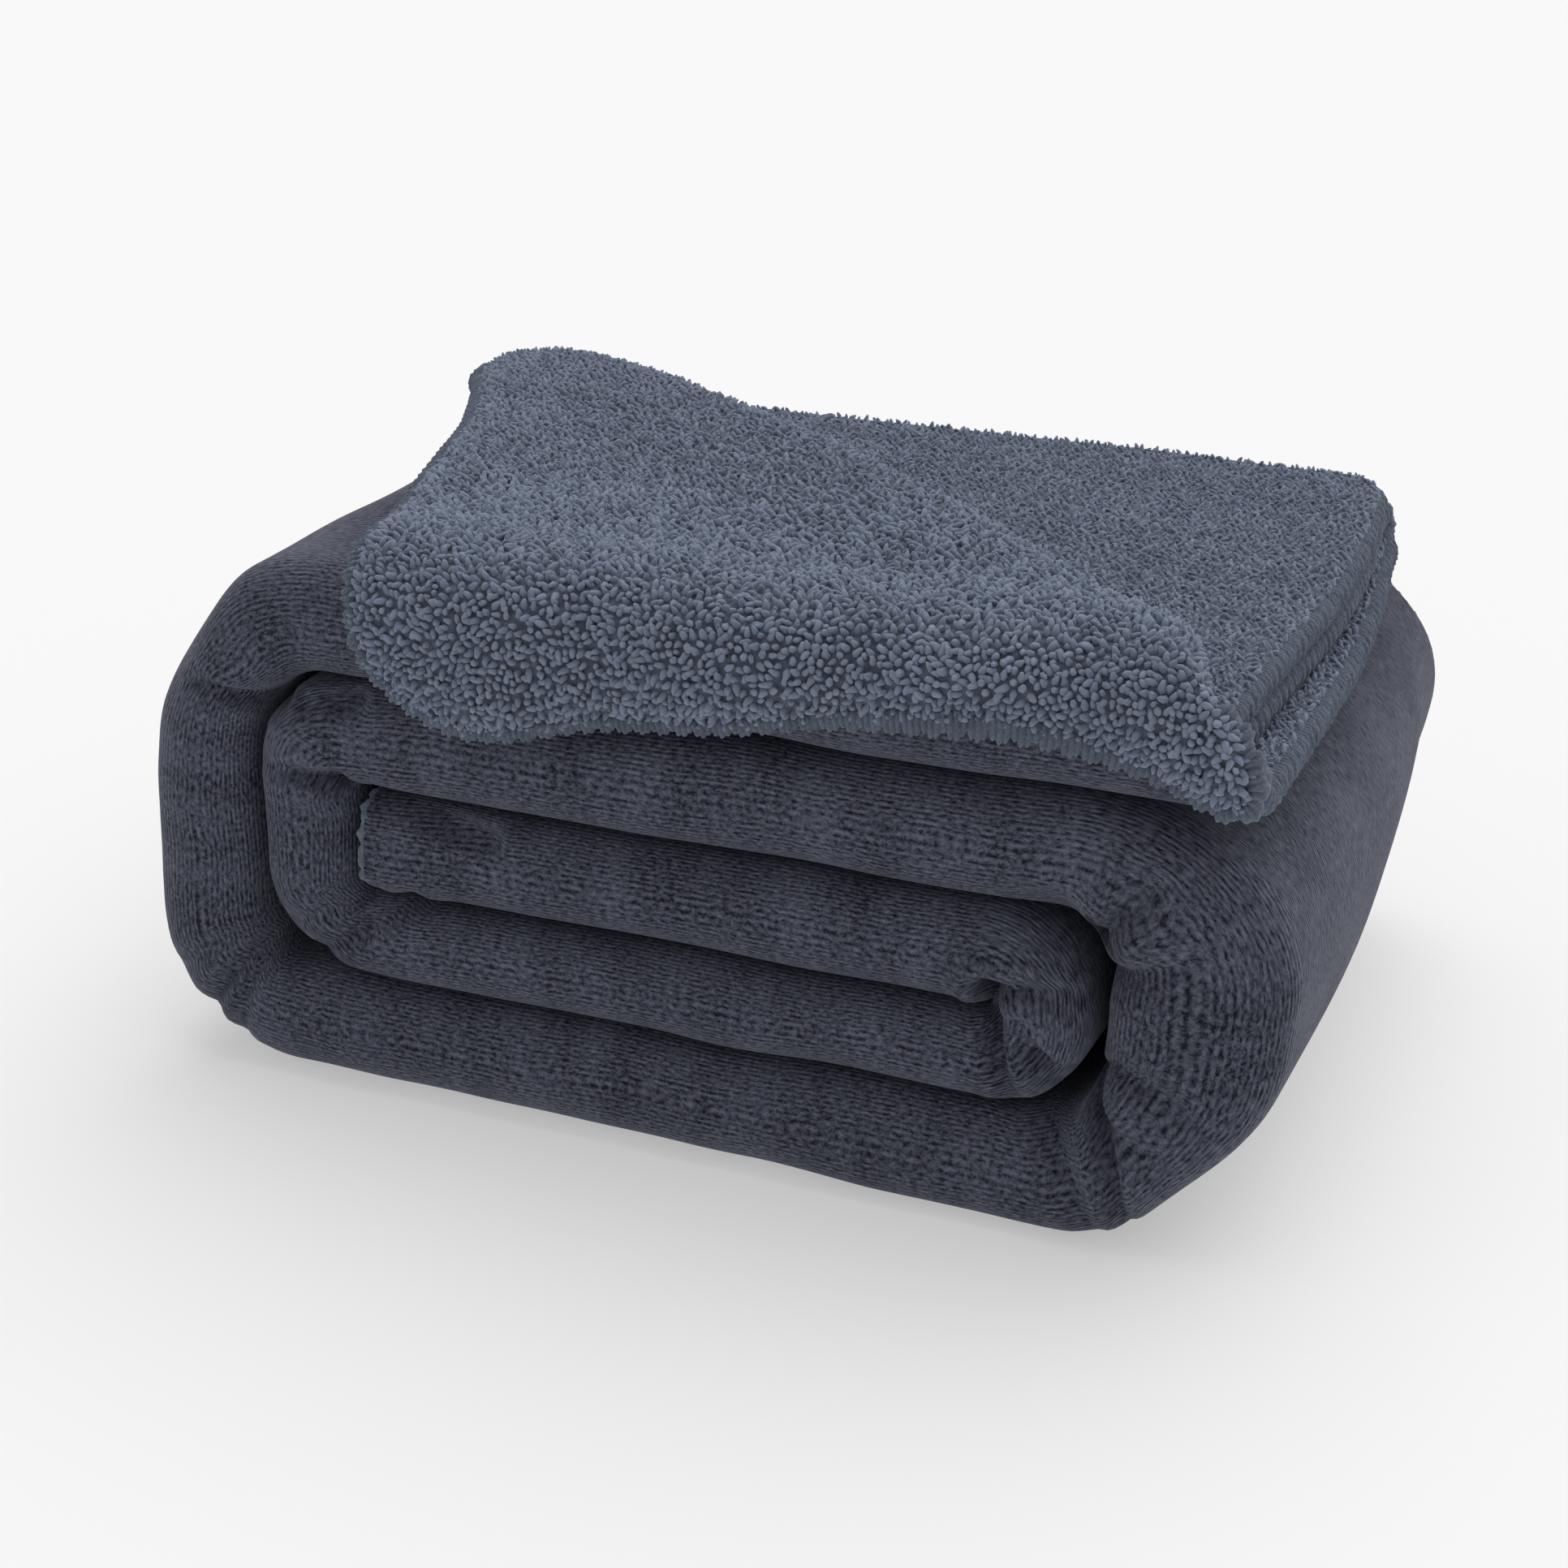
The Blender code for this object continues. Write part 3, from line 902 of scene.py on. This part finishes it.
def liningShown(column, row, point):
    # 0 where the lining is hidden, 1 and 2 for the two pieces that its curls are made in
    mark = topLiningMarks[row]
    if not onTop(top[column]):
        return 0
    if mark < plyThreeLength + cloths["pastFold"]:
        if point.y <= ridgeYAt(point.x) - cloths["underRidge"]:
            return 0
        return 1 if point.x > cloths["rightFrom"] else 2
    return 1 if point.x > endX - cloths["endBand"] and mark > plyOneStart and point.z < topLevel else 0


def flapShown(column, row, point):
    return 1 if point.y < cloths["frontFrom"] else 2


place, uvOf = wound(top, topLiningMarks, pileOffset, True)
topLining = gridPiece("topSherpaLining", len(top), len(topLiningMarks), place, shadedGroundFinish, uvOf,
                      turned=True, shown=liningShown)

# the ridge's roll is a piece of its own
ridgeLining = gridPiece("ridgeSherpaLining", flapColumns, rollRows + 1, flapPilePlace, shadedGroundFinish,
                        flapUv(flapRows), shown=lambda column, row, point: 1)
flapLining = gridPiece("flapSherpaLining", flapColumns, flapRows - rollRows,
                       lambda column, row: flapPilePlace(column, row + rollRows), shadedGroundFinish,
                       flapUv(flapRows), shown=flapShown)
print("laid the lining")


# Curls of the pile
curls = {
    "spacing": 0.0019,
    "density": 600000.0,
    "size": (0.0013, 0.0011, 0.0024),
    "foot": -0.7,               # share of its half height below which a curl is open
    "lean": 1.1,
    "tilt": 0.5,
    "scale": {"front": (0.85, 1.20), "back": (0.68, 1.0), "lining": (0.58, 0.88)},
    "seed": 11,
}


def makeCurlShape():
    bm = bmesh.new()
    bmesh.ops.create_uvsphere(bm, u_segments=6, v_segments=5, radius=1)
    buried = [vert for vert in bm.verts if vert.co.z < curls["foot"]]
    bmesh.ops.delete(bm, geom=buried, context="VERTS")
    for vert in bm.verts:
        vert.co.x += curls["lean"] * max(0, vert.co.z) ** 2
    bmesh.ops.scale(bm, vec=curls["size"], verts=bm.verts[:])
    return finished("curlShape", bm, curlFinish)


def scatterCurls(name, ground, part, shape, scale, seed):
    # curls spread evenly over one shown part of a lining, made one mesh
    tree = bpy.data.node_groups.new(name, "GeometryNodeTree")
    tree.interface.new_socket("Geometry", in_out="INPUT", socket_type="NodeSocketGeometry")
    tree.interface.new_socket("Geometry", in_out="OUTPUT", socket_type="NodeSocketGeometry")

    def node(kind, settings=None, sockets=None):
        made = tree.nodes.new(kind)
        for key, value in (settings or {}).items():
            setattr(made, key, value)
        for key, value in (sockets or {}).items():
            if isinstance(value, bpy.types.NodeSocket):
                tree.links.new(value, made.inputs[key])
            else:
                made.inputs[key].default_value = value
        return made

    start = node("NodeGroupInput")
    shown = node("GeometryNodeInputNamedAttribute", {"data_type": "FLOAT"}, {"Name": "shown"})
    picked = node("FunctionNodeCompare", {"data_type": "FLOAT", "operation": "EQUAL"}, {
        0: shown.outputs["Attribute"], 1: float(part), "Epsilon": 0.5})
    spread = node("GeometryNodeDistributePointsOnFaces", {"distribute_method": "POISSON"}, {
        "Mesh": start.outputs[0], "Distance Min": curls["spacing"], "Density Max": curls["density"],
        "Density Factor": picked.outputs[0], "Seed": seed})
    tilt = curls["tilt"]
    turn = node("FunctionNodeRandomValue", {"data_type": "FLOAT_VECTOR"}, {
        0: (-tilt, -tilt, -math.pi), 1: (tilt, tilt, math.pi), "Seed": seed + 1})
    rotation = node("FunctionNodeRotateRotation", {"rotation_space": "LOCAL"}, {
        0: spread.outputs["Rotation"], 1: turn.outputs[0]})
    size = node("FunctionNodeRandomValue", {"data_type": "FLOAT"}, {
        2: curls["scale"][scale][0], 3: curls["scale"][scale][1], "Seed": seed + 2})
    tone = node("FunctionNodeRandomValue", {"data_type": "FLOAT"}, {2: 0.0, 3: 1.0, "Seed": seed + 3})
    toned = node("GeometryNodeStoreNamedAttribute", {"data_type": "FLOAT", "domain": "POINT"}, {
        "Geometry": spread.outputs["Points"], "Name": "tone", "Value": tone.outputs[1]})
    shapeInfo = node("GeometryNodeObjectInfo", None, {"Object": shape})
    placed = node("GeometryNodeInstanceOnPoints", None, {
        "Points": toned.outputs[0], "Instance": shapeInfo.outputs["Geometry"],
        "Rotation": rotation.outputs[0], "Scale": size.outputs[1]})
    whole = node("GeometryNodeRealizeInstances", None, {"Geometry": placed.outputs[0]})
    node("NodeGroupOutput", None, {0: whole.outputs[0]})

    modifier = ground.modifiers.new(name, "NODES")
    modifier.node_group = tree
    graph = bpy.context.evaluated_depsgraph_get()
    mesh = bpy.data.meshes.new_from_object(ground.evaluated_get(graph))
    ground.modifiers.remove(modifier)
    bpy.data.node_groups.remove(tree)
    mesh.name = name
    mesh.materials.clear()
    mesh.materials.append(curlFinish)
    print(name, len(mesh.polygons), "faces")
    return shownPiece(name, mesh)


curlShape = makeCurlShape()
flapCurls = [scatterCurls("flapFrontCurls", flapLining, 1, curlShape, "front", curls["seed"]),
             scatterCurls("flapBackCurls", flapLining, 2, curlShape, "back", curls["seed"] + 10)]
ridgeCurls = scatterCurls("ridgeCurls", ridgeLining, 1, curlShape, "back", curls["seed"] + 40)
liningCurls = [scatterCurls("liningRightCurls", topLining, 1, curlShape, "lining", curls["seed"] + 20),
               scatterCurls("liningLeftCurls", topLining, 2, curlShape, "lining", curls["seed"] + 30)]
bpy.data.objects.remove(curlShape)
print("raised the curls")


# Overlock yarn along the cut edges
overlock = {
    "inward": 0.0078,
    "outward": 0.0020,
    "halfHeight": 0.0040,
    "flapInward": 0.0022,       # the turned corner's edge is thinner and half hidden in the pile
    "flapHalfHeight": 0.0027,
    "strandPitch": 0.0021,
    "rollPitch": 0.0042,        # the plain back edges of the roll have coarser strands
    "strandDepth": 0.0011,
    "scallopPitch": 0.0068,
    "scallopDepth": 0.0022,
    "slant": 1.6,
    "squareness": 0.8,          # 1 is round, less is flatter
    "around": 12,
    "stationsOff": 2,           # left out beside each corner, where one diagonal cut goes
    "marksOff": 3,
    "ridgeClearance": 0.004,
    "flapCuts": 2200,
    "wayOver": 9,               # cuts to each side that the flap edge's direction is taken over
    # steps along each run of the section, in its order
    "rollMarks": (240, 6, 240, 20, 240, 50, 240),
    "topMarks": (720, 12, 720, 40, 720, 130, 720),
}
edgeCentre = (face - pile) / 2


def yarnProfile(length, pitch, inward, halfHeight):
    # (past the edge, height) round one cut of the sewn yarn, its rounded strands slanting along the edge
    points = []
    around, squareness = overlock["around"], overlock["squareness"]
    bulge = abs(math.sin(math.pi * length / overlock["scallopPitch"]))
    for i in range(around):
        angle = 2 * math.pi * i / around
        cos, sin = math.cos(angle), math.sin(angle)
        reach = overlock["outward"] if cos > 0 else inward
        turn = math.pi * length / pitch + overlock["slant"] * abs(sin)
        strand = overlock["strandDepth"] * (abs(math.sin(turn)) - 0.5)
        scallop = overlock["scallopDepth"] * max(0, cos) * bulge
        out = reach * math.copysign(abs(cos) ** squareness, cos) + scallop + strand * max(0, cos)
        points.append((out, (halfHeight + strand) * math.copysign(abs(sin) ** squareness, sin)))
    return points


def yarnPiece(name, rings, pitch, inward=overlock["inward"], halfHeight=overlock["halfHeight"]):
    # rings: (place(out, height) of one cut, length along the edge)
    profiles = [yarnProfile(length, pitch, inward, halfHeight) for at, length in rings]
    around = overlock["around"]

    def place(column, row):
        out, height = profiles[column][row % around]
        return rings[column][0](out, height)

    return gridPiece(name, len(rings), around + 1, place, yarnFinish, tube=True)


def stripEdge(station, s, way):
    def at(out, height):
        x, y, z = stripPoint(station, s, edgeCentre + height)
        return settle(endShape(station, s, (x + way[0] * out, y + way[1] * out, z + way[2] * out)))

    return at


def alongStation(station, sign):
    return station[2] * sign, 0, station[3] * sign


def measured(places):
    # each cut with the length along the edge so far
    rings, length, last = [], 0.0, None
    for at in places:
        middle = at(0, 0)
        if last is not None:
            length += (middle - last).length
        last = middle
        rings.append((at, length))
    return rings


back = (0, 1, 0)
stationsOff, marksOff = overlock["stationsOff"], overlock["marksOff"]
rollMarks, endMarks = sectionMarks(overlock["rollMarks"]), sectionMarks(overlock["topMarks"])
startWay = alongStation(fineRolled[0], -1)
diagonal = tuple(a + b for a, b in zip(back, startWay))
edges = [stripEdge(station, sectionLength, back) for station in reversed(fineRolled[stationsOff:])]
edges.append(stripEdge(fineRolled[0], sectionLength, diagonal))
edges += [stripEdge(fineRolled[0], mark, startWay) for mark in reversed(rollMarks[marksOff:-marksOff])]
edges.append(stripEdge(fineRolled[0], 0, diagonal))
edges += [stripEdge(station, 0, back) for station in fineRolled[stationsOff:]]
rollYarn = yarnPiece("rollOverlock", measured(edges), overlock["rollPitch"])

endWay = alongStation(fineTop[-1], 1)
diagonal = tuple(a + b for a, b in zip(back, endWay))
endCut = sectionLength - (openY - hinge.y) - overlock["ridgeClearance"]
edges = [stripEdge(station, 0, back) for station in fineTop[:-stationsOff]]
edges.append(stripEdge(fineTop[-1], 0, diagonal))
edges += [stripEdge(fineTop[-1], mark, endWay) for mark in endMarks[marksOff:] if mark < endCut]
topYarn = yarnPiece("topEndOverlock", measured(edges), overlock["strandPitch"])

peakX = ridgePoint(1).x
backEnd = peakX + overlock["ridgeClearance"]
edges = [stripEdge(station, sectionLength, back) for station in fineTop
         if not onTop(station) and stripPoint(station, sectionLength, 0)[0] < backEnd]
backYarn = yarnPiece("topBackOverlock", measured(edges), overlock["rollPitch"])

flapHeight = gap + face - edgeCentre
flapCuts, wayOver = overlock["flapCuts"], overlock["wayOver"]
edgeLine = curveThrough(flap["outline"], flapCuts)
flapEdges = []
for i, spot in enumerate(edgeLine):
    way = (edgeLine[min(i + wayOver, flapCuts)] - edgeLine[max(i - wayOver, 0)]).normalized()
    outWay = Vector((-way.y, way.x))

    def at(out, height, spot=spot, outWay=outWay):
        return flapPoint(spot + outWay * out, flapHeight + height)

    flapEdges.append(at)
flapYarn = yarnPiece("flapOverlock", measured(flapEdges), overlock["strandPitch"], overlock["flapInward"],
                     overlock["flapHalfHeight"])
print("sewed the edges")

# What each piece is, what it stands for and how it moves
rollLength = rolled[-1][5]
topLength = top[-1][5] - top[0][5]
cornerArea = 0.5 * (openY - hinge.y) * (endX - peakX)
flapFlatSize = (0.30, 0.40)
sheets = [
    (rollCloth, (sectionLength, rollLength), None, "ribbed_velvet", ["face_cloth"], [rollYarn]),
    (rollLining, (sectionLength, rollLength), None, "curly_pile", ["sherpa_lining"], []),
    (topCloth, (sectionLength, topLength), sectionLength * topLength - cornerArea, "ribbed_velvet",
     ["top_face_cloth"], [topYarn, backYarn]),
    (topLining, (sectionLength, topLength), sectionLength * topLength - cornerArea, "curly_pile",
     ["top_sherpa_lining"], liningCurls),
    (flapCloth, flapFlatSize, cornerArea, "ribbed_velvet", ["flap_face_cloth"], []),
    (flapLining, flapFlatSize, cornerArea, "curly_pile", ["flap_sherpa_lining"],
     flapCurls + [flapYarn, ridgeLining, ridgeCurls]),
]
for piece, flat, area, slot, nodes, going in sheets:
    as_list(going)
    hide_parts(*nodes)
for piece, node in ((rollYarn, "edge_overlock"), (topYarn, "top_end_overlock"),
                    (backYarn, "top_back_overlock"), (flapYarn, "flap_overlock")):
    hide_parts(node)

for piece in (rollCloth, rollLining, rollYarn):
    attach(piece, "roll")
for piece in (topCloth, topLining, topYarn, backYarn, *liningCurls):
    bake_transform(piece)
for piece in (flapCloth, flapLining, flapYarn, *flapCurls):
    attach(piece, "corner_flap")
for piece in (ridgeLining, ridgeCurls):
    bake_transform(piece)
print("tied the pieces to their bodies")

# Floor, light and camera
studio = {
    "floor": (0.52, 0.52, 0.52, 1),
    "floorGlow": 0.40,
    "floorSize": 14,
    "floorDrop": 0.0002,
    "sky": 0.48,
    "sun": 1.95,
    "sunFrom": (0.12, 0.40, 1.0),
    "sunAngle": 70,
    "cameraAt": (0.345, -0.845, 0.461),
    "cameraTo": (-0.020, 0.007, 0.073),
    "fieldOfView": 31.53,
    "clipEnd": 60,
}

bm = bmesh.new()
bmesh.ops.create_grid(bm, x_segments=1, y_segments=1, size=studio["floorSize"])
floorFinish = Finish("floorPaper")
floorFinish.plain(Base_Color=studio["floor"], Roughness=0.9, Specular_IOR_Level=0,
                  Emission_Color=(1, 1, 1, 1), Emission_Strength=studio["floorGlow"])
floor = finished("floor", bm, floorFinish.material)
floor.location.z = -studio["floorDrop"]

scene = bpy.context.scene
scene.view_settings.view_transform = "Standard"
world = bpy.data.worlds.new("studio")
scene.world = world
world.use_nodes = True
world.node_tree.nodes["Background"].inputs["Color"].default_value = (1, 1, 1, 1)
world.node_tree.nodes["Background"].inputs["Strength"].default_value = studio["sky"]

sun = bpy.data.objects.new("softLight", bpy.data.lights.new("softLight", "SUN"))
sun.data.energy = studio["sun"]
sun.data.angle = math.radians(studio["sunAngle"])
sun.rotation_euler = Vector(studio["sunFrom"]).to_track_quat("Z", "Y").to_euler()
scene.collection.objects.link(sun)

camera = bpy.data.objects.new("camera", bpy.data.cameras.new("camera"))
camera.location = studio["cameraAt"]
toward = Vector(studio["cameraTo"]) - Vector(studio["cameraAt"])
camera.rotation_euler = toward.to_track_quat("-Z", "Y").to_euler()
camera.data.angle = math.radians(studio["fieldOfView"])
camera.data.clip_end = studio["clipEnd"]
scene.collection.objects.link(camera)
scene.camera = camera
print("set up the studio")
